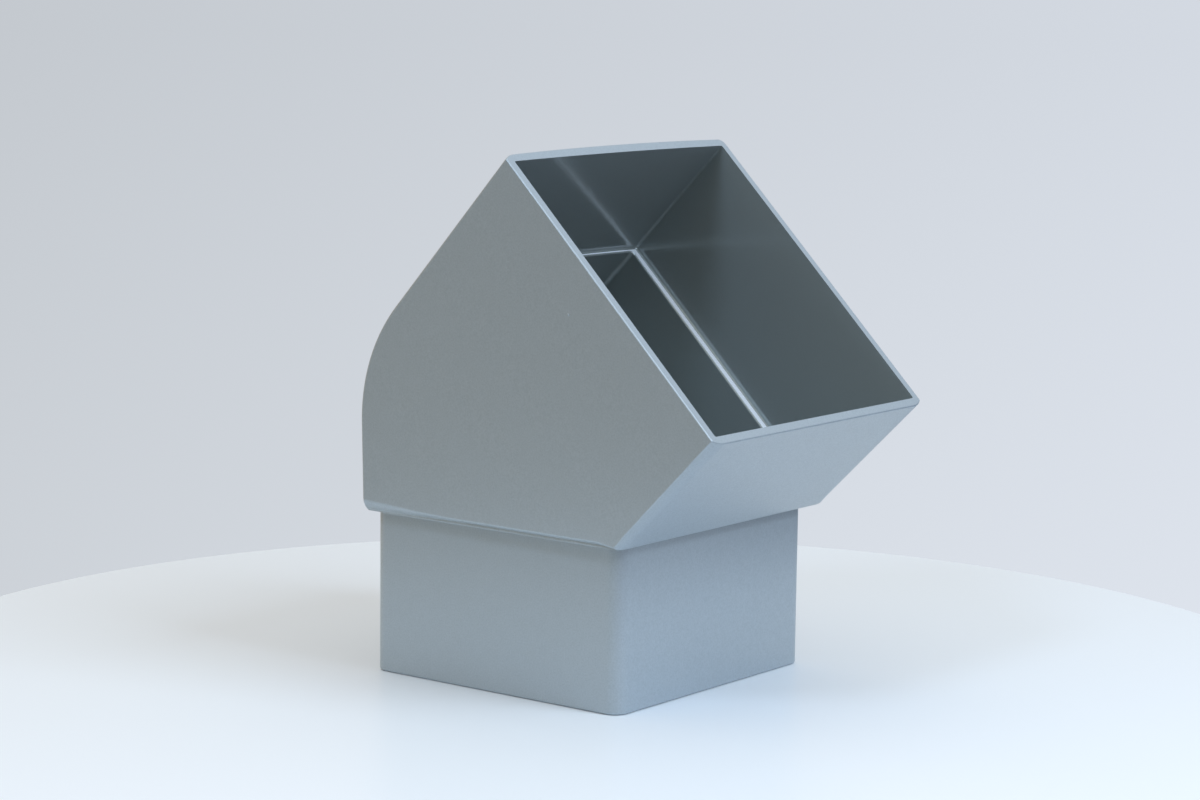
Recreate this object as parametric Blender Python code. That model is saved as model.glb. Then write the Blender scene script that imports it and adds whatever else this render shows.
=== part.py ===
# Square downpipe bend, 45 degrees, injection moulded in one piece.
# A spigot stands at the foot, a shoulder steps out to the elbow, and a socket leans towards +X.
# Metres, +Z up. The bend lies in the XZ plane, and the part stands on its spigot's foot at Z = 0.
# It is worked out round the spigot's axis, and then moved so that its whole box is centred on Z.

from math import cos, pi, radians, sin, tan

import bpy
from mathutils import Vector

MM = 0.001

# Pipe that the bend joins
PIPE_WIDTH = 100.0 * MM
PIPE_WALL = 2.0 * MM

# Wall of the moulding, at the spigot and at the socket's rim
WALL = 2.3 * MM
RIM_WALL = 2.8 * MM

# Spigot, which slips into the pipe below
SPIGOT_CLEARANCE = 0.5 * MM
SPIGOT_LENGTH = 50.6 * MM
SPIGOT_CORNER = 4.6 * MM
SPIGOT_FOOT_ROUND = 0.8 * MM
SPIGOT_ROOT_ROUND = 1.0 * MM

# Shoulder between the spigot and the elbow, whose rounded edge grows taller towards the back
SHOULDER = 3.65 * MM
SHOULDER_ROUND = 1.4 * MM
BACK_ROUND_HEIGHT = 4.0 * MM
BACK_ROUND_DEPTH = 2.3 * MM

# Elbow
BEND_ANGLE = radians(45.0)
BEND_RADIUS = 53.8 * MM
THROAT_SPREAD = 8.0 * MM

# Socket, which takes the pipe above, and the drafts of its core, of the outer sides and of the outer bend.
# The stop's ledge is wide along the sides and the throat, and narrow along the outer bend.
MOUTH_CLEARANCE = 1.9 * MM
CORE_DRAFT = radians(1.5)
SIDE_DRAFT = radians(1.3)
OUTER_BEND_DRAFT = radians(1.5)
SOCKET_DEPTH = 47.0 * MM
STOP_LEDGE = 3.2 * MM
OUTER_BEND_LEDGE = 2.3 * MM
STOP_ABOVE_THROAT = 2.0 * MM
RIM_ROUND = 0.45 * MM
OUTER_CROWN = 0.8 * MM
INNER_CROWN = 0.45 * MM

# Outer corners, which grow softer from the rim down to the shoulder
RIM_CORNER = 4.5 * MM
CORNER_GROWTH = 0.013

# Inside corners, and the floor that falls to the bore so that no water stands on it
MOUTH_CORNER = 0.6 * MM
INNER_CORNER = 1.2 * MM
BORE_FALL = 1.8 * MM

# Facets
ARC_STEPS = 12
CORNER_STEPS = 5
SIDE_STEPS = 4
ROUND_STEPS = 3

# Half widths worked out from the pipe
SPIGOT_HALF = PIPE_WIDTH / 2 - PIPE_WALL - SPIGOT_CLEARANCE
BORE_HALF = SPIGOT_HALF - WALL
BODY_HALF = SPIGOT_HALF + SHOULDER
MOUTH_HALF = PIPE_WIDTH / 2 + MOUTH_CLEARANCE
RIM_HALF = MOUTH_HALF + RIM_WALL
STOP_HALF = MOUTH_HALF - SOCKET_DEPTH * tan(CORE_DRAFT)
PASSAGE_HALF = STOP_HALF - STOP_LEDGE
PASSAGE_BACK = STOP_HALF - OUTER_BEND_LEDGE

# Directions in the bend's plane: along the socket's axis, and across it towards the outer bend
ALONG = Vector((sin(BEND_ANGLE), 0.0, cos(BEND_ANGLE)))
ACROSS = Vector((-cos(BEND_ANGLE), 0.0, sin(BEND_ANGLE)))

# The throat, where the shoulder meets the leaning wall, and the middle of the rim
THROAT = Vector((BODY_HALF, 0.0, SPIGOT_LENGTH))
THROAT_LENGTH = SOCKET_DEPTH + STOP_ABOVE_THROAT
RIM_MIDDLE = THROAT + ALONG * THROAT_LENGTH + ACROSS * RIM_HALF

# The outer bend's wall above the arc leans a little less than the socket's axis
OUTER_BEND_LEAN = BEND_ANGLE - OUTER_BEND_DRAFT


def clear_scene():
    for item in list(bpy.data.objects):
        bpy.data.objects.remove(item, do_unlink=True)


def below_rim(point):
    return ALONG.dot(RIM_MIDDLE - point)


def outer_half_width(point):
    # The outer sides are flat, and draw in from the rim at the draft angle
    return RIM_HALF - below_rim(point) * tan(SIDE_DRAFT)


def outer_corner(point):
    return RIM_CORNER + below_rim(point) * CORNER_GROWTH


def section(back, front, half_widths, corners, crown=0.0):
    # A ring of points round one section, from the throat's side to the outer bend's and back.
    # It has its own half width and corner radius at each end, given as (back, front) pairs.
    middle = (back + front) / 2
    across = (front - back).normalized()
    half_length = (front - back).length / 2
    arcs = []
    for number, (end, width_sign) in enumerate(((1, 1), (-1, 1), (-1, -1), (1, -1))):
        radius = corners[(end + 1) // 2]
        half_width = half_widths[(end + 1) // 2]
        centre = Vector((end * (half_length - radius), width_sign * (half_width - radius)))
        arc = []
        for step in range(CORNER_STEPS + 1):
            turn = (number + step / CORNER_STEPS) * pi / 2
            arc.append(centre + radius * Vector((cos(turn), sin(turn))))
        arcs.append(arc)
    outline = []
    for number, arc in enumerate(arcs):
        outline += arc
        following = arcs[(number + 1) % len(arcs)][0]
        on_outer_bend = arc[-1].x < 0 and following.x < 0
        for step in range(1, SIDE_STEPS):
            share = step / SIDE_STEPS
            point = arc[-1].lerp(following, share)
            if on_outer_bend:
                point.x -= crown * 4 * share * (1 - share)
            outline.append(point)
    return [middle + across * point.x + Vector((0.0, point.y, 0.0)) for point in outline]


def square_section(middle, across, half, corner, crown=0.0):
    ends = (middle - across * half, middle + across * half)
    return section(*ends, (half, half), (corner, corner), crown)


def level_square(height, half, corner):
    return square_section(Vector((0.0, 0.0, height)), Vector((1.0, 0.0, 0.0)), half, corner)


def outer_section(back, front, inset=0.0, crown=0.0):
    # A section of the outer skin between two points of the bend's plane, drawn in by the inset
    half_widths = [outer_half_width(end) - inset for end in (back, front)]
    corners = [outer_corner(end) - inset for end in (back, front)]
    return section(back, front, half_widths, corners, crown)


def bend_outline(side, wall_point, lean, radius, hinge):
    # Points round the outer bend: the arc between the upright wall and the leaning wall, then the
    # leaning wall at the hinge's level
    outward = Vector((-cos(lean), 0.0, sin(lean)))
    upward = Vector((sin(lean), 0.0, cos(lean)))
    middle = radius - side
    height = wall_point.z - (radius + (middle - wall_point.x) * outward.x) / outward.z
    centre = Vector((middle, 0.0, height))
    points = []
    for step in range(ARC_STEPS + 1):
        turn = lean * step / ARC_STEPS
        points.append(centre + radius * Vector((-cos(turn), 0.0, sin(turn))))
    points.append(wall_point + upward * ALONG.dot(hinge - wall_point) / ALONG.dot(upward))
    return points


def throat_point(hinge, back, wall_point, wall_direction):
    # Where the line from the outer bend to the hinge meets the throat's wall
    ray = hinge - back
    gap = wall_point - back
    reach = gap.x * wall_direction.z - gap.z * wall_direction.x
    reach /= ray.x * wall_direction.z - ray.z * wall_direction.x
    return back + ray * reach


def bend_share(number):
    # How much of the crown the wall of the outer bend has, which grows round the arc
    return min(1.0, number / ARC_STEPS)


def quarter_turns():
    # Sine and cosine from 0 to a quarter turn
    turns = [pi / 2 * step / ROUND_STEPS for step in range(ROUND_STEPS + 1)]
    return [(sin(turn), cos(turn)) for turn in turns]


def spigot_rings():
    rings = []
    for rise, run in quarter_turns():
        height = SPIGOT_FOOT_ROUND * (1.0 - run)
        half = SPIGOT_HALF - SPIGOT_FOOT_ROUND * (1.0 - rise)
        rings.append(level_square(height, half, SPIGOT_CORNER))
    for rise, run in quarter_turns():
        spread = SPIGOT_ROOT_ROUND * (1.0 - run)
        height = SPIGOT_LENGTH - SPIGOT_ROOT_ROUND * (1.0 - rise)
        rings.append(level_square(height, SPIGOT_HALF + spread, SPIGOT_CORNER + spread))
    return rings


def shoulder_rings():
    # The rounded edge from the shoulder's underside up to the body's walls
    rings = []
    for rise, run in quarter_turns():
        lift = SHOULDER_ROUND * (1.0 - run)
        inset = SHOULDER_ROUND * (1.0 - rise)
        back_lift = BACK_ROUND_HEIGHT * (1.0 - run)
        back = Vector((-BODY_HALF + BACK_ROUND_DEPTH * (1.0 - rise), 0.0, SPIGOT_LENGTH + back_lift))
        front = Vector((BODY_HALF - inset + lift * tan(BEND_ANGLE), 0.0, SPIGOT_LENGTH + lift))
        rings.append(outer_section(back, front, inset))
    return rings


def elbow_rings():
    # Sections fan round a hinge just outside the throat
    hinge = THROAT + Vector((THROAT_SPREAD, 0.0, 0.0))
    rim_top = RIM_MIDDLE + ACROSS * RIM_HALF
    rings = []
    for number, back in enumerate(bend_outline(BODY_HALF, rim_top, OUTER_BEND_LEAN, BEND_RADIUS, hinge)):
        front = throat_point(hinge, back, THROAT, ALONG)
        rings.append(outer_section(back, front, 0.0, OUTER_CROWN * bend_share(number)))
    return rings


def rim_rings():
    # The end of the socket, its face square to the axis and its outer edge lightly rounded
    rings = []
    for rise, run in quarter_turns():
        level = RIM_MIDDLE - ALONG * RIM_ROUND * (1.0 - rise)
        inset = RIM_ROUND * (1.0 - run)
        corner = RIM_CORNER - inset
        rings.append(square_section(level, -ACROSS, RIM_HALF - inset, corner, OUTER_CROWN))
    return rings


def socket_rings():
    # Inside of the socket, from its mouth down to the stop
    rings = []
    for depth, half, corner in ((0.0, MOUTH_HALF, MOUTH_CORNER), (SOCKET_DEPTH, STOP_HALF, INNER_CORNER)):
        level = RIM_MIDDLE - ALONG * depth
        rings.append(square_section(level, -ACROSS, half, corner, INNER_CROWN))
    return rings


def passage_rings():
    # Inside of the elbow, from the stop's lip round to its floor
    floor = SPIGOT_LENGTH + WALL
    stop_middle = RIM_MIDDLE - ALONG * SOCKET_DEPTH
    stop_back = stop_middle + ACROSS * PASSAGE_BACK
    stop_front = stop_middle - ACROSS * PASSAGE_HALF
    floor_back = Vector((-PASSAGE_BACK, 0.0, floor))
    floor_front = Vector((PASSAGE_HALF, 0.0, floor))
    reach = (STOP_ABOVE_THROAT - WALL * cos(BEND_ANGLE)) / sin(BEND_ANGLE)
    hinge = Vector((BODY_HALF + reach, 0.0, floor))
    radius = BEND_RADIUS - (BODY_HALF - PASSAGE_BACK)
    outline = bend_outline(PASSAGE_BACK, stop_back, BEND_ANGLE, radius, hinge)
    half_widths = (PASSAGE_HALF, PASSAGE_HALF)
    corners = (INNER_CORNER, INNER_CORNER)
    rings = [section(floor_back, floor_front, half_widths, corners)]
    for number, back in enumerate(outline[:-1]):
        front = throat_point(hinge, back, floor_front, stop_front - floor_front)
        rings.append(section(back, front, half_widths, corners, INNER_CROWN * bend_share(number)))
    rings.append(section(stop_back, stop_front, half_widths, corners, INNER_CROWN))
    rings.reverse()
    return rings


def bore_rings():
    top = SPIGOT_LENGTH + WALL - BORE_FALL
    return [level_square(height, BORE_HALF, INNER_CORNER) for height in (top, 0.0)]


def skin(name, rings):
    # Bridges each ring to the next and the last to the first: one closed body with a way through
    count = len(rings[0])
    across = [point.x for ring in rings for point in ring]
    to_centre = Vector((-(min(across) + max(across)) / 2, 0.0, 0.0))
    points = [point + to_centre for ring in rings for point in ring]
    faces = []
    for number in range(len(rings)):
        low = number * count
        high = (number + 1) % len(rings) * count
        for step in range(count):
            following = (step + 1) % count
            faces.append((low + step, low + following, high + following, high + step))
    mesh = bpy.data.meshes.new(name)
    mesh.from_pydata(points, [], faces)
    mesh.shade_smooth()
    mesh.set_sharp_from_angle(angle=radians(25.0))
    body = bpy.data.objects.new(name, mesh)
    bpy.context.scene.collection.objects.link(body)
    return body


def moulded_grey():
    material = bpy.data.materials.new("metallic_grey_moulding")
    material.use_nodes = True
    shader = material.node_tree.nodes["Principled BSDF"]
    shader.inputs["Base Color"].default_value = (0.27, 0.31, 0.35, 1.0)
    shader.inputs["Roughness"].default_value = 0.45
    shader.inputs["Metallic"].default_value = 0.35
    return material


def main():
    clear_scene()
    rings = spigot_rings() + shoulder_rings() + elbow_rings() + rim_rings()
    rings += socket_rings() + passage_rings() + bore_rings()
    bend = skin("downpipe_bend", rings)
    bend.data.materials.append(moulded_grey())


main()
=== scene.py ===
from math import asin, cos, pi, radians, sin, tan

import bpy
from mathutils import Matrix, Vector


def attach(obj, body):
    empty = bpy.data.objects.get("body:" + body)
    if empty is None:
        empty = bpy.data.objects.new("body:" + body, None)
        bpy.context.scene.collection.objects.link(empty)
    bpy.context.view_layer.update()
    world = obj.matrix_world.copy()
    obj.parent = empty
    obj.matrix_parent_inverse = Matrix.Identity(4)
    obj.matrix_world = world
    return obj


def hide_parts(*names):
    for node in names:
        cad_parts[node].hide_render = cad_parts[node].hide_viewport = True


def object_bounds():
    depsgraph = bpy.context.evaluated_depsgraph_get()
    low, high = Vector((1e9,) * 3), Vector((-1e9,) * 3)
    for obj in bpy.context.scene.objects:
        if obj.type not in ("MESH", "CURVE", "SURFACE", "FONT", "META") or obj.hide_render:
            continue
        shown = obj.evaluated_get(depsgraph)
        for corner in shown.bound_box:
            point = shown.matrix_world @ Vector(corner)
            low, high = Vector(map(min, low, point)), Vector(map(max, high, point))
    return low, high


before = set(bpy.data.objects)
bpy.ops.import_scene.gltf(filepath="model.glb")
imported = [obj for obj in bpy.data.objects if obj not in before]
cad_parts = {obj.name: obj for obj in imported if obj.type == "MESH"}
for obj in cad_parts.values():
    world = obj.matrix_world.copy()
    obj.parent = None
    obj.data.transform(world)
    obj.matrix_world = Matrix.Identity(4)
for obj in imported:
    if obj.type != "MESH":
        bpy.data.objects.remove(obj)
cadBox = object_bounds()
mm = 0.001
print("frame loaded")


# Camera: a short telephoto on a tripod, a little above the bend and turned towards its mouth
cameraSetup = {
    "lens": 96.18,            # mm
    "sensorWidth": 36.0,
    "standX": 581.65,         # mm from the middle of the part
    "standY": -775.2,
    "standZ": 225.79,
    "azimuth": 37.548,        # degrees
    "elevation": 8.24,
    "roll": 0.723,
}


def makeCamera():
    s = cameraSetup
    data = bpy.data.cameras.new("camera")
    data.sensor_width = s["sensorWidth"]
    data.lens = s["lens"]
    turn, lift, roll = radians(s["azimuth"]), radians(s["elevation"]), radians(s["roll"])
    back = Vector((sin(turn) * cos(lift), -cos(turn) * cos(lift), sin(lift)))
    right = Vector((cos(turn), sin(turn), 0.0))
    up = back.cross(right)
    rolledRight = right * cos(roll) + up * sin(roll)
    rolledUp = up * cos(roll) - right * sin(roll)
    place = Matrix.Translation(Vector((s["standX"], s["standY"], s["standZ"])) * mm)
    facing = Matrix((rolledRight, rolledUp, back)).transposed().to_4x4()
    camera = bpy.data.objects.new("camera", data)
    camera.matrix_world = place @ facing
    bpy.context.scene.collection.objects.link(camera)
    bpy.context.scene.camera = camera


makeCamera()
print("camera placed")


def hexToLinear(text):
    values = [int(text[i:i + 2], 16) / 255 for i in (1, 3, 5)]
    return [v / 12.92 if v <= 0.04045 else ((v + 0.055) / 1.055) ** 2.4 for v in values] + [1.0]


def addNode(tree, kind, settings=None, links=None):
    # links gives, for an input's name or number, the output socket that feeds it
    node = tree.nodes.new(kind)
    for name, value in (settings or {}).items():
        if isinstance(name, int) or name in node.inputs:
            node.inputs[name].default_value = value
        else:
            setattr(node, name, value)
    for name, socket in (links or {}).items():
        tree.links.new(socket, node.inputs[name])
    return node


# Metallic grey PVC: polyvinyl chloride with aluminium flake in it, moulded in a spark-eroded tool outside
# and over a polished core inside. Outside it is satin with a fine grain, and inside it reflects softly.
outsideFinish = {
    "baseColour": "#a4b0b8",
    "flakeLight": "#b0bcc4",
    "roughness": 0.35,
    "metallic": 0.42,
    "ior": 1.53,
    "grainSize": 0.5,         # mm from one grain to the next, drawn coarser than the real flake to show
    "grainDepth": 0.008,      # mm
    "waveSize": 28.0,         # mm, the slow waviness of a moulded wall
    "waveDepth": 0.03,        # mm
}
insideFinish = {
    "baseColour": "#9aa4a5",
    "flakeLight": "#9ca6a7",
    "roughness": 0.14,        # the polish of the core
    "metallic": 0.4,
    "ior": 1.53,
    "grainSize": 0.6,
    "grainDepth": 0.0005,
    "waveSize": 22.0,
    "waveDepth": 0.02,
}
# The stop's ledge is given a matt, near-white colour: a painted highlight for the one pale line of light
# that it shows
ledgePaintedHighlightFinish = {
    "baseColour": "#e4eaf0",
    "flakeLight": "#e7edf3",
    "roughness": 0.45,
    "metallic": 0.0,
    "ior": 1.53,
    "grainSize": 0.4,
    "grainDepth": 0.002,
    "waveSize": 22.0,
    "waveDepth": 0.02,
}
# How the flake and a broader mottle share out colour and gloss, the same in all three finishes
flakePattern = {
    "mottleGrains": 6,        # the mottle is this many grains across
    "mottleShare": 0.2,       # how much it counts beside the flake
    "colourFrom": 0.35,       # where the pattern reaches the base colour,
    "colourTo": 0.85,         # and where the light of the flake
    "glossFrom": 0.3,         # where the flake is at its dullest,
    "glossTo": 0.7,           # and at its glossiest
    "glossSpread": 0.05,      # how far the roughness goes up and down
}


def makeMouldedPvc(name, s):
    p = flakePattern
    material = bpy.data.materials.new(name)
    material.use_nodes = True
    tree = material.node_tree
    shader = tree.nodes["Principled BSDF"]
    shader.inputs["Metallic"].default_value = s["metallic"]
    shader.inputs["IOR"].default_value = s["ior"]
    place = addNode(tree, "ShaderNodeTexCoord").outputs["Object"]
    flake = addNode(tree, "ShaderNodeTexNoise", {"Scale": 1 / (s["grainSize"] * mm), "Detail": 2.0},
                    {"Vector": place})
    mottleSize = p["mottleGrains"] * s["grainSize"]
    mottle = addNode(tree, "ShaderNodeTexNoise", {"Scale": 1 / (mottleSize * mm), "Detail": 3.0},
                     {"Vector": place})
    blend = addNode(tree, "ShaderNodeMath", {"operation": "MULTIPLY_ADD", 1: p["mottleShare"]},
                    {0: mottle.outputs["Fac"], 2: flake.outputs["Fac"]})
    share = addNode(tree, "ShaderNodeMapRange", {"From Min": p["colourFrom"], "From Max": p["colourTo"]},
                    {"Value": blend.outputs[0]})
    colour = addNode(tree, "ShaderNodeMix", {"data_type": "RGBA"}, {0: share.outputs[0]})
    colour.inputs[6].default_value = hexToLinear(s["baseColour"])
    colour.inputs[7].default_value = hexToLinear(s["flakeLight"])
    tree.links.new(colour.outputs[2], shader.inputs["Base Color"])
    rough = addNode(tree, "ShaderNodeMapRange", {"From Min": p["glossFrom"], "From Max": p["glossTo"],
                                                 "To Min": s["roughness"] + p["glossSpread"],
                                                 "To Max": s["roughness"] - p["glossSpread"]},
                    {"Value": flake.outputs["Fac"]})
    tree.links.new(rough.outputs[0], shader.inputs["Roughness"])
    wave = addNode(tree, "ShaderNodeTexNoise", {"Scale": 1 / (s["waveSize"] * mm), "Detail": 1.0},
                   {"Vector": place})
    slow = addNode(tree, "ShaderNodeBump", {"Strength": 1.0, "Distance": s["waveDepth"] * mm},
                   {"Height": wave.outputs["Fac"]})
    fine = addNode(tree, "ShaderNodeBump", {"Strength": 1.0, "Distance": s["grainDepth"] * mm},
                   {"Height": flake.outputs["Fac"], "Normal": slow.outputs[0]})
    tree.links.new(fine.outputs[0], shader.inputs["Normal"])
    return material


# The bend itself, at the sizes of the solid that it stands for, with smoother rounds, finer corners
# and the low step at the shoulder's foot
bendShape = {
    "spigotHalf": 47.5,       # mm, half the spigot's outside width
    "spigotLength": 50.6,
    "spigotCorner": 4.6,
    "spigotFootRound": 0.8,
    "spigotRootRound": 1.0,
    "spigotWall": 2.3,
    "shoulder": 3.65,         # how far the body stands out past the spigot
    "shoulderStep": ((1.4, 0.0), (1.15, 0.1), (1.1, 0.3), (1.15, 0.9), (1.05, 1.05)),  # inset and height
    "shoulderRound": 1.05,    # the round above this small step at the foot of the shoulder's sides
    "shoulderFrontRound": 0.4,
    "stepBackRun": 50.0,      # the step fades in over this much from the back,
    "stepFrontRun": 4.0,      # and over this much from the throat
    "backRoundHeight": 4.0,   # the shoulder's rounded edge grows taller towards the back
    "backRoundDepth": 2.3,
    "bendAngle": 45.0,        # degrees
    "bendRadius": 53.8,
    "throatSpread": 8.0,      # how far outside the throat the sections' hinge lies
    "mouthHalf": 51.9,
    "rimWall": 2.8,           # the wall's thickness at the rim
    "coreDraft": 1.5,         # degrees
    "sideDraft": 1.3,
    "outerBendDraft": 1.5,
    "socketDepth": 47.0,
    "stopLedge": 3.2,         # how far the ledge stands in at the sides and the throat,
    "outerBendLedge": 1.6,    # and at the outer bend
    "stopDrop": 0.4,          # the ledge lies this much deeper away from the throat
    "stopDropRun": 12.0,      # and gets there over this much
    "stopAboveThroat": 2.0,   # how far up the socket's axis it lies from the throat
    "rimRound": 0.45,
    "outerCrown": 0.8,        # how far the moulding's walls bow
    "innerCrown": 0.45,
    "cornerReach": 5.0,       # the outer corners: a broad arc off the throat's or outer bend's wall,
    "cornerArc": 8.3,         # its radius,
    "cornerEdge": 0.65,       # and the small round in which it ends at the side
    "backGrowth": 0.007,      # the corners of the outer bend grow broader by this share for each mm down
    "farTopCorner": 2.4,      # the rim's far top corner is sharper than the others
    "mouthCorner": 0.6,
    "socketCorner": 1.0,
    "leastCorner": 0.15,      # no corner gets sharper than this where it is set in
    "passageCorner": 1.5,
    "coveRound": 0.5,         # the hollow round between the socket's wall and the stop's ledge
    "outerBendCove": 0.8,
    "lipRound": 0.5,
    "throatLipRound": 0.3,
    "boreFall": 1.8,          # the passage's floor slopes down to the bore by this much
    "arcSteps": 48,
    "cornerSteps": 14,
    "sideSteps": 16,
    "roundSteps": 7,
    "sharpAngle": 30.0,       # degrees, above which an edge is shaded sharp
}
bendAngle = radians(bendShape["bendAngle"])
along = Vector((sin(bendAngle), 0.0, cos(bendAngle)))        # the socket's axis
across = Vector((-cos(bendAngle), 0.0, sin(bendAngle)))      # from the throat to the outer bend
sidewise = Vector((1.0, 0.0, 0.0))
bodyHalf = bendShape["spigotHalf"] + bendShape["shoulder"]
boreHalf = bendShape["spigotHalf"] - bendShape["spigotWall"]
rimHalf = bendShape["mouthHalf"] + bendShape["rimWall"]
stopHalf = bendShape["mouthHalf"] - bendShape["socketDepth"] * tan(radians(bendShape["coreDraft"]))
passageHalf = stopHalf - bendShape["stopLedge"]
passageBack = stopHalf - bendShape["outerBendLedge"]
throat = Vector((bodyHalf, 0.0, bendShape["spigotLength"]))
rimMiddle = throat + along * (bendShape["socketDepth"] + bendShape["stopAboveThroat"]) + across * rimHalf
stopMiddle = rimMiddle - along * bendShape["socketDepth"]


def roundTurns(turn=pi / 2):
    # Sine and cosine of the steps round a corner, from 0 to the whole turn
    steps = bendShape["roundSteps"]
    return [(sin(turn * i / steps), cos(turn * i / steps)) for i in range(steps + 1)]


def cornerPoints(half, halfWidth, corner):
    # From the wall at half to the side at halfWidth: a broad arc and then a small round, or one plain round
    steps = bendShape["cornerSteps"] // 2
    reach, arc, edge = corner if isinstance(corner, tuple) else (corner, corner, corner)
    turn = asin((reach - edge) / (arc - edge)) if arc > edge else pi / 4
    points = []
    for i in range(steps + 1):
        angle = turn * i / steps
        points.append(Vector((half - arc + arc * cos(angle), halfWidth - reach + arc * sin(angle))))
    edgeMiddle = half - arc + (arc - edge) * cos(turn)
    for i in range(1, steps + 1):
        angle = turn + (pi / 2 - turn) * i / steps
        points.append(Vector((edgeMiddle + edge * cos(angle), halfWidth - edge + edge * sin(angle))))
    return points


def section(back, front, halfWidths, corners, crown=0.0):
    # A ring of points round one section, from the throat's side to the outer bend's and back.
    # Half widths are a (back, front) pair; corners go front far, back far, back near, front near.
    sideSteps = bendShape["sideSteps"]
    middle, half = (back + front) / 2, (front - back).length / 2
    sideways = (front - back).normalized()
    arcs = []
    for number, (end, side) in enumerate(((1, 1), (-1, 1), (-1, -1), (1, -1))):
        points = cornerPoints(half, halfWidths[(end + 1) // 2], corners[number])
        arc = [Vector((end * p.x, side * p.y)) for p in points]
        arcs.append(arc if number in (0, 2) else arc[::-1])
    outline = []
    for number, arc in enumerate(arcs):
        following = arcs[(number + 1) % 4][0]
        onOuterBend = arc[-1].x < 0 and following.x < 0
        outline += arc
        for i in range(1, sideSteps):
            share = i / sideSteps
            point = arc[-1].lerp(following, share)
            point.x -= crown * 4 * share * (1 - share) if onOuterBend else 0.0   # bows out as a parabola
            outline.append(point)
    return [middle + sideways * p.x + Vector((0.0, p.y, 0.0)) for p in outline]


def square(middle, sideways, half, corners, crown=0.0):
    return section(middle - sideways * half, middle + sideways * half, [half] * 2, corners, crown)


def level(height, half, corner):
    return square(Vector((0.0, 0.0, height)), sidewise, half, [corner] * 4)


def outerCorner(growth=1.0, inset=0.0):
    s = bendShape
    reach, arc, edge = [s[name] * growth - inset for name in ("cornerReach", "cornerArc", "cornerEdge")]
    return reach, arc, max(edge, s["leastCorner"])


def outerSection(back, front, inset=0.0, crown=0.0):
    # The outer sides draw in from the rim down at the draft angle, and the back corners grow broader
    s = bendShape
    depths = [along.dot(rimMiddle - end) for end in (back, front)]
    halfWidths = [rimHalf - depth * tan(radians(s["sideDraft"])) - inset for depth in depths]
    backCorner = outerCorner(1.0 + depths[0] * s["backGrowth"], inset)
    frontCorner = outerCorner(1.0, inset)
    return section(back, front, halfWidths, [frontCorner, backCorner, backCorner, frontCorner], crown)


def bendOutline(side, wallPoint, lean, radius, hinge):
    # The arc between the upright wall and the leaning wall, then the leaning wall at the hinge's level
    steps = bendShape["arcSteps"]
    outward = Vector((-cos(lean), 0.0, sin(lean)))
    upward = Vector((sin(lean), 0.0, cos(lean)))
    middle = radius - side
    height = wallPoint.z - (radius + (middle - wallPoint.x) * outward.x) / outward.z
    centre = Vector((middle, 0.0, height))
    turns = [lean * i / steps for i in range(steps + 1)]
    points = [centre + radius * Vector((-cos(turn), 0.0, sin(turn))) for turn in turns]
    return points + [wallPoint + upward * along.dot(hinge - wallPoint) / along.dot(upward)]


def throatPoint(hinge, back, wallPoint, wallDirection):
    # Where the line from the outer bend to the hinge meets the throat's wall
    ray, gap = hinge - back, wallPoint - back
    reach = gap.x * wallDirection.z - gap.z * wallDirection.x
    reach /= ray.x * wallDirection.z - ray.z * wallDirection.x
    return back + ray * reach


def spigotRings():
    s = bendShape
    foot, root = s["spigotFootRound"], s["spigotRootRound"]
    rings = [level(foot * (1 - run), s["spigotHalf"] - foot * (1 - rise), s["spigotCorner"])
             for rise, run in roundTurns()]
    for rise, run in roundTurns():
        spread = root * (1 - run)
        height = s["spigotLength"] - root * (1 - rise)
        rings.append(level(height, s["spigotHalf"] + spread, s["spigotCorner"] + spread))
    return rings


def easeOver(share):
    # A smooth step from 0 to 1
    share = min(max(share, 0.0), 1.0)
    return share * share * (3 - 2 * share)


def raiseSides(ring, sideLift):
    # Brings a ring's two long sides up to their own height, easing off towards the throat and the back
    s = bendShape
    height = s["spigotLength"] + sideLift
    raised = []
    for p in ring:
        share = min((bodyHalf - p.x) / s["stepFrontRun"], (bodyHalf + p.x) / s["stepBackRun"])
        raised.append(Vector((p.x, p.y, p.z + (height - p.z) * easeOver(share))))
    return raised


def shoulderRings():
    # A small step at the foot of the sides, a round above it, and taller rounds at the back
    s = bendShape
    foot = s["shoulderStep"][-1][1]
    profile = list(s["shoulderStep"])
    profile += [(s["shoulderRound"] * (1 - rise), foot + s["shoulderRound"] * (1 - run))
                for rise, run in roundTurns()]
    rings = []
    for number, (inset, sideLift) in enumerate(profile):
        turn = pi / 2 * number / (len(profile) - 1)
        run, rise = 1 - cos(turn), 1 - sin(turn)
        lift, frontInset = s["shoulderFrontRound"] * run, s["shoulderFrontRound"] * rise
        backLift, backInset = s["backRoundHeight"] * run, s["backRoundDepth"] * rise
        back = Vector((-bodyHalf + backInset, 0.0, s["spigotLength"] + backLift))
        front = Vector((bodyHalf - frontInset + lift * tan(bendAngle), 0.0, s["spigotLength"] + lift))
        rings.append(raiseSides(outerSection(back, front, inset), sideLift))
    return rings


def elbowRings():
    # Sections fan round a hinge just outside the throat
    s = bendShape
    hinge = throat + sidewise * s["throatSpread"]
    lean = bendAngle - radians(s["outerBendDraft"])
    outline = bendOutline(bodyHalf, rimMiddle + across * rimHalf, lean, s["bendRadius"], hinge)
    rings = []
    for i, back in enumerate(outline):
        crown = s["outerCrown"] * min(1.0, i / s["arcSteps"])
        rings.append(outerSection(back, throatPoint(hinge, back, throat, along), 0.0, crown))
    return rings


def rimRings():
    s = bendShape
    rings = []
    for rise, run in roundTurns():
        inset = s["rimRound"] * (1 - run)
        corners = [outerCorner(1.0, inset)] * 4
        corners[1] = s["farTopCorner"] - inset
        middle = rimMiddle - along * s["rimRound"] * (1 - rise)
        rings.append(square(middle, -across, rimHalf - inset, corners, s["outerCrown"]))
    return rings


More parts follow.
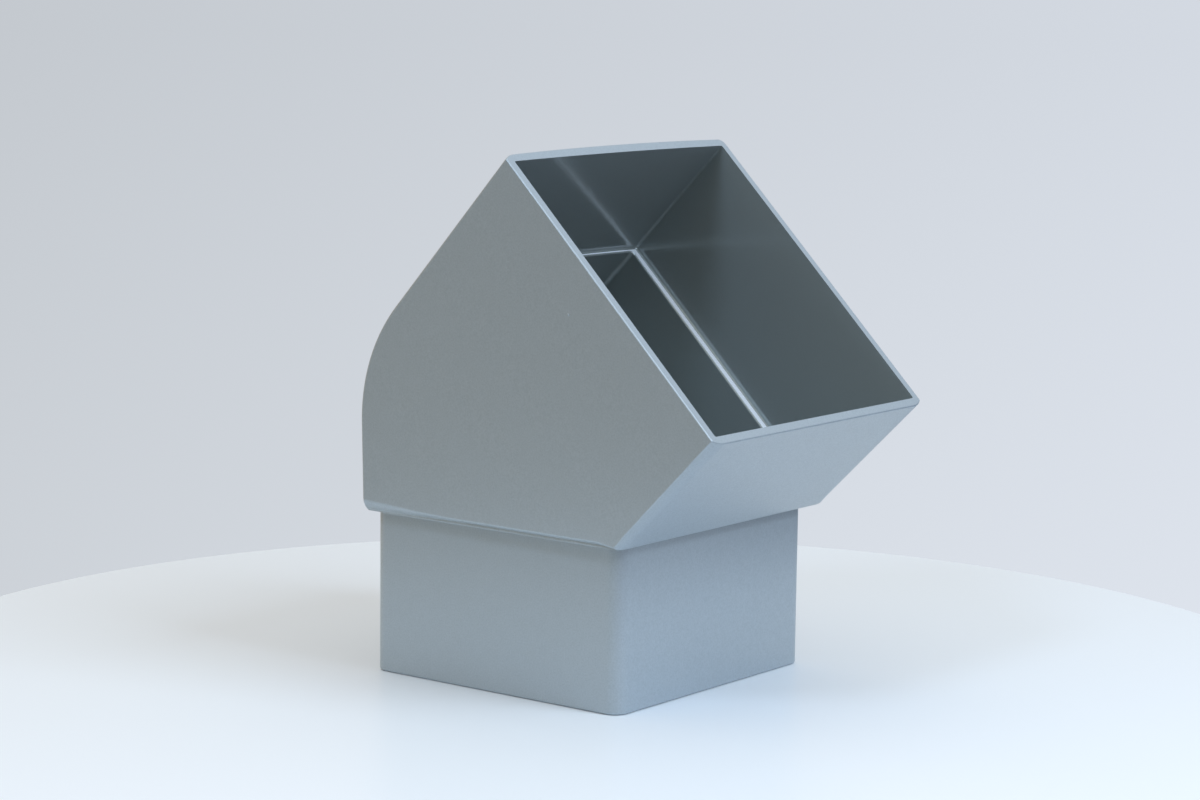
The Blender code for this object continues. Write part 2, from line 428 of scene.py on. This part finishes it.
def sink(ring):
    # Away from the throat the ledge lies a little deeper
    s = bendShape
    sunk = []
    for p in ring:
        share = (across.dot(p - stopMiddle) + passageHalf) / s["stopDropRun"]
        sunk.append(p - along * s["stopDrop"] * easeOver(share))
    return sunk


def socketRings():
    # From the mouth down the wall, and round the cove to the stop's ledge
    s = bendShape
    rings = [square(rimMiddle, -across, s["mouthHalf"], [s["mouthCorner"]] * 4, s["innerCrown"])]
    for rise, run in roundTurns():
        backDepth, frontDepth = s["outerBendCove"] * (1 - rise), s["coveRound"] * (1 - rise)
        backInset, frontInset = s["outerBendCove"] * (1 - run), s["coveRound"] * (1 - run)
        back = stopMiddle + across * (stopHalf - backInset) + along * backDepth
        front = stopMiddle - across * (stopHalf - frontInset) + along * frontDepth
        halfWidths = (stopHalf - backInset, stopHalf - frontInset)
        backCorner = max(s["socketCorner"] - backInset, s["leastCorner"])
        frontCorner = max(s["socketCorner"] - frontInset, s["leastCorner"])
        corners = [frontCorner, backCorner, backCorner, frontCorner]
        rings.append(sink(section(back, front, halfWidths, corners, s["innerCrown"])))
    return rings


def lipRings():
    # Over the ledge's lip; at the throat the ledge and the upright wall meet in a wedge of half the angle
    s = bendShape
    lip, tip = s["lipRound"], s["throatLipRound"]
    wedge = pi - bendAngle
    rings = []
    for (rise, run), (tipRise, tipRun) in zip(roundTurns(), roundTurns(wedge)):
        inset, frontReach = lip * (1 - rise), tip * (1 / tan(bendAngle / 2) - tipRise)
        back = stopMiddle + across * (passageBack + inset) - along * lip * (1 - run)
        front = stopMiddle - across * (passageHalf + frontReach) - along * tip * (1 - tipRun)
        corners = [s["passageCorner"] + inset] * 4
        rings.append(sink(section(back, front, [passageHalf + inset] * 2, corners, s["innerCrown"])))
    return rings


def passageRings():
    # Inside of the elbow, from under the lip round to its floor
    s = bendShape
    floor = s["spigotLength"] + s["spigotWall"]
    stopBack, stopFront = stopMiddle + across * passageBack, stopMiddle - across * passageHalf
    floorFront = Vector((stopFront.x, 0.0, floor))
    reach = (s["stopAboveThroat"] - s["spigotWall"] * cos(bendAngle)) / sin(bendAngle)
    hinge = Vector((bodyHalf + reach, 0.0, floor))
    radius = s["bendRadius"] - (bodyHalf - passageBack)
    outline = bendOutline(passageBack, stopBack, bendAngle, radius, hinge)[:-1]
    halfWidths, corners = [passageHalf] * 2, [s["passageCorner"]] * 4
    rings = []
    for i, back in reversed(list(enumerate(outline))):
        front = throatPoint(hinge, back, floorFront, stopFront - floorFront)
        rings.append(section(back, front, halfWidths, corners, s["innerCrown"] * i / s["arcSteps"]))
    rings.append(section(Vector((-passageBack, 0.0, floor)), floorFront, halfWidths, corners))
    return rings


def boreRings():
    s = bendShape
    top = s["spigotLength"] + s["spigotWall"] - s["boreFall"]
    return [level(height, boreHalf, s["passageCorner"]) for height in (top, 0.0)]


# A speck in the near side's skin, where the tool had a tiny pit
speckSetup = {
    "along": 32.8,            # mm from the spigot's axis
    "height": 117.7,          # mm from the spigot's foot
    "radius": 0.5,
    "stand": 0.28,            # how far it stands out
    "rootDepth": 0.05,        # how far it reaches into the wall
    "steps": 16,              # round it
    "levels": 5,              # up it
}


def addSpeck(points, faces):
    # A low closed dome on the near side, with its flat bottom inside the wall
    s = speckSetup
    steps, levels = s["steps"], s["levels"]
    middle = Vector((s["along"], 0.0, s["height"]))
    middle.y = along.dot(rimMiddle - middle) * tan(radians(bendShape["sideDraft"])) - rimHalf
    start = len(points)
    for number in range(levels):
        share = 1 - number / levels
        out = s["stand"] * (1 - share * share) if number else -s["rootDepth"]
        for i in range(steps):
            turn = 2 * pi * i / steps
            reach = share * s["radius"]
            points.append(middle + Vector((reach * cos(turn), -out, reach * sin(turn))))
    for number in range(levels - 1):
        here = start + number * steps
        for i in range(steps):
            j = (i + 1) % steps
            faces.append((here + i, here + j, here + steps + j, here + steps + i))
    top = start + (levels - 1) * steps
    faces.append(tuple(range(top, top + steps)))
    faces.append(tuple(range(start + steps - 1, start - 1, -1)))


def makeBend():
    # One closed skin: up the outside, over the rim, down the inside and back to the spigot's foot
    outside = spigotRings() + shoulderRings() + elbowRings() + rimRings()
    socket = socketRings()
    inside = socket + lipRings() + passageRings() + boreRings()
    rings = outside + inside
    outsideSlot, insideSlot, ledgePaintedHighlightSlot = 0, 1, 2
    bandSlots = [outsideSlot] * len(outside) + [insideSlot] * len(inside)
    # The ledge's band gets the near-white ledge material, its painted highlight
    bandSlots[len(outside) + len(socket) - 1] = ledgePaintedHighlightSlot
    bandSlots[-1] = outsideSlot          # the foot's flat face
    count = len(rings[0])
    points = [p for ring in rings for p in ring]
    faces, slots = [], []
    for number, slot in enumerate(bandSlots):
        here, there = number * count, (number + 1) % len(rings) * count
        for i in range(count):
            j = (i + 1) % count
            faces.append((here + i, here + j, there + j, there + i))
            slots.append(slot)
    # The solid's box gives the place along and up, and nothing stands out of it
    low, high = cadBox
    shift = low - Vector([min(p[axis] for p in points) for axis in range(3)]) * mm
    shift.y = 0.0
    addSpeck(points, faces)
    slots += [outsideSlot] * (len(faces) - len(slots))
    places = [p * mm + shift for p in points]
    places = [[min(max(p[axis], low[axis]), high[axis]) for axis in range(3)] for p in places]
    mesh = bpy.data.meshes.new("mouldedBend")
    mesh.from_pydata(places, [], faces)
    mesh.materials.append(makeMouldedPvc("metallicPvcMouldedSatin", outsideFinish))
    mesh.materials.append(makeMouldedPvc("metallicPvcCoreSmooth", insideFinish))
    # The third material is the ledge's near-white painted highlight
    mesh.materials.append(makeMouldedPvc("ledgePaintedHighlightPvc", ledgePaintedHighlightFinish))
    mesh.polygons.foreach_set("material_index", slots)
    mesh.shade_smooth()
    mesh.set_sharp_from_angle(angle=radians(bendShape["sharpAngle"]))
    body = bpy.data.objects.new("mouldedBend", mesh)
    bpy.context.scene.collection.objects.link(body)
    weighted = body.modifiers.new("weightedNormals", "WEIGHTED_NORMAL")
    weighted.keep_sharp = True
    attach(body, "root")
    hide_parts("downpipe_bend")


makeBend()
print("bend made")


# The floor: a round table top of board lacquered white, whose satin coat blurs what it reflects
floorSetup = {
    "colour": "#e8edf1",
    "roughness": 0.3,
    "radius": 229.0,          # mm
    "middleX": -9.0,
    "middleY": -8.0,
    "edgeSteps": 240,
}


def makeFloor():
    s = floorSetup
    steps = s["edgeSteps"]
    turns = [2 * pi * i / steps for i in range(steps)]
    middle = Vector((s["middleX"], s["middleY"], 0.0))
    edge = [middle + s["radius"] * Vector((cos(turn), sin(turn), 0.0)) for turn in turns]
    mesh = bpy.data.meshes.new("floor")
    mesh.from_pydata([p * mm for p in edge], [], [tuple(range(steps))])
    material = bpy.data.materials.new("whiteLacqueredBoard")
    material.use_nodes = True
    shader = material.node_tree.nodes["Principled BSDF"]
    shader.inputs["Base Color"].default_value = hexToLinear(s["colour"])
    shader.inputs["Roughness"].default_value = s["roughness"]
    mesh.materials.append(material)
    floor = bpy.data.objects.new("floor", mesh)
    bpy.context.scene.collection.objects.link(floor)


makeFloor()
print("floor made")


# The room: the light that each of its six sides sends, as linear red, green and blue. A direction takes
# from each side the square of its part towards it, and these squares add up to one.
roomSetup = {
    "right": (0.17, 0.14, 0.16),
    "left": (0.58, 0.47, 0.34),
    "behind": (0.25, 0.29, 0.34),
    "before": (0.25, 0.23, 0.16),
    "above": (1.22, 1.21, 1.17),
    "below": (0.2, 0.56, 1.1),
}
roomSides = {
    "right": (1.0, 0.0, 0.0),
    "left": (-1.0, 0.0, 0.0),
    "behind": (0.0, 1.0, 0.0),
    "before": (0.0, -1.0, 0.0),
    "above": (0.0, 0.0, 1.0),
    "below": (0.0, 0.0, -1.0),
}
# What the camera sees of the wall: paler to the right, and duller towards the top
wallSetup = {
    "across": (0.793, 0.609, 0.0),   # from its left to its right
    "reach": 0.2,                    # how far to each side the two colours lie
    "left": "#c9ced4",
    "right": "#dae0e9",
    "top": -0.03,                    # the sight line's rise where the wall is dullest,
    "bottom": -0.2,                  # and where it is brightest
    "topStrength": 0.94,
    "bottomStrength": 1.04,
}


def makeRoom():
    world = bpy.data.worlds.new("room")
    bpy.context.scene.world = world
    world.use_nodes = True
    tree = world.node_tree
    direction = addNode(tree, "ShaderNodeTexCoord").outputs["Generated"]
    light = None
    for side, axis in roomSides.items():
        facing = addNode(tree, "ShaderNodeVectorMath", {"operation": "DOT_PRODUCT", 1: axis}, {0: direction})
        front = addNode(tree, "ShaderNodeMath", {"operation": "MAXIMUM", 1: 0.0},
                        {0: facing.outputs["Value"]})
        share = addNode(tree, "ShaderNodeMath", {"operation": "POWER", 1: 2.0}, {0: front.outputs[0]})
        sent = addNode(tree, "ShaderNodeVectorMath", {"operation": "SCALE", 0: roomSetup[side]},
                       {"Scale": share.outputs[0]})
        if light:
            sent = addNode(tree, "ShaderNodeVectorMath", {"operation": "ADD"},
                           {0: light.outputs[0], 1: sent.outputs[0]})
        light = sent
    room = tree.nodes["Background"]
    tree.links.new(light.outputs[0], room.inputs["Color"])
    s = wallSetup
    reach = addNode(tree, "ShaderNodeVectorMath", {"operation": "DOT_PRODUCT", 1: s["across"]},
                    {0: direction})
    share = addNode(tree, "ShaderNodeMapRange", {"From Min": -s["reach"], "From Max": s["reach"]},
                    {"Value": reach.outputs["Value"]})
    shades = addNode(tree, "ShaderNodeMix", {"data_type": "RGBA"}, {0: share.outputs[0]})
    shades.inputs[6].default_value = hexToLinear(s["left"])
    shades.inputs[7].default_value = hexToLinear(s["right"])
    height = addNode(tree, "ShaderNodeSeparateXYZ", None, {0: direction}).outputs["Z"]
    strength = addNode(tree, "ShaderNodeMapRange", {"From Min": s["bottom"], "From Max": s["top"],
                                                    "To Min": s["bottomStrength"],
                                                    "To Max": s["topStrength"]},
                       {"Value": height})
    wall = addNode(tree, "ShaderNodeBackground", None, {0: shades.outputs[2], 1: strength.outputs[0]})
    path = addNode(tree, "ShaderNodeLightPath")
    seen = addNode(tree, "ShaderNodeMixShader", None, {0: path.outputs["Is Camera Ray"], 1: room.outputs[0],
                                                       2: wall.outputs[0]})
    tree.links.new(seen.outputs[0], tree.nodes["World Output"].inputs["Surface"])


makeRoom()
print("room made")


# Two cool soft boxes: a wide one high up before the throat, and a small one high up by the near side
lampTarget = Vector((0.0, 0.0, 80.0))      # mm, the middle of the part
lampSetup = {
    "wide": {"azimuth": 4.0, "elevation": 43.0, "distance": 1100.0, "size": 520.0, "power": 7.9,
             "colour": (0.67, 0.82, 1.0)},
    "small": {"azimuth": -90.0, "elevation": 46.0, "distance": 1000.0, "size": 240.0, "power": 2.13,
              "colour": (0.6, 0.76, 1.0)},
}


def makeLamps():
    for name, s in lampSetup.items():
        data = bpy.data.lights.new(name + "Lamp", "AREA")
        data.shape = "DISK"
        data.size = s["size"] * mm
        data.energy = s["power"]
        data.color = s["colour"]
        lamp = bpy.data.objects.new(name + "Lamp", data)
        turn, lift = radians(s["azimuth"]), radians(s["elevation"])
        away = Vector((cos(turn) * cos(lift), sin(turn) * cos(lift), sin(lift)))
        lamp.location = (lampTarget + away * s["distance"]) * mm
        lamp.rotation_mode = "QUATERNION"
        lamp.rotation_quaternion = (-away).to_track_quat("-Z", "Y")
        bpy.context.scene.collection.objects.link(lamp)


makeLamps()
bpy.context.scene.view_settings.view_transform = "Standard"
print("lamps placed")
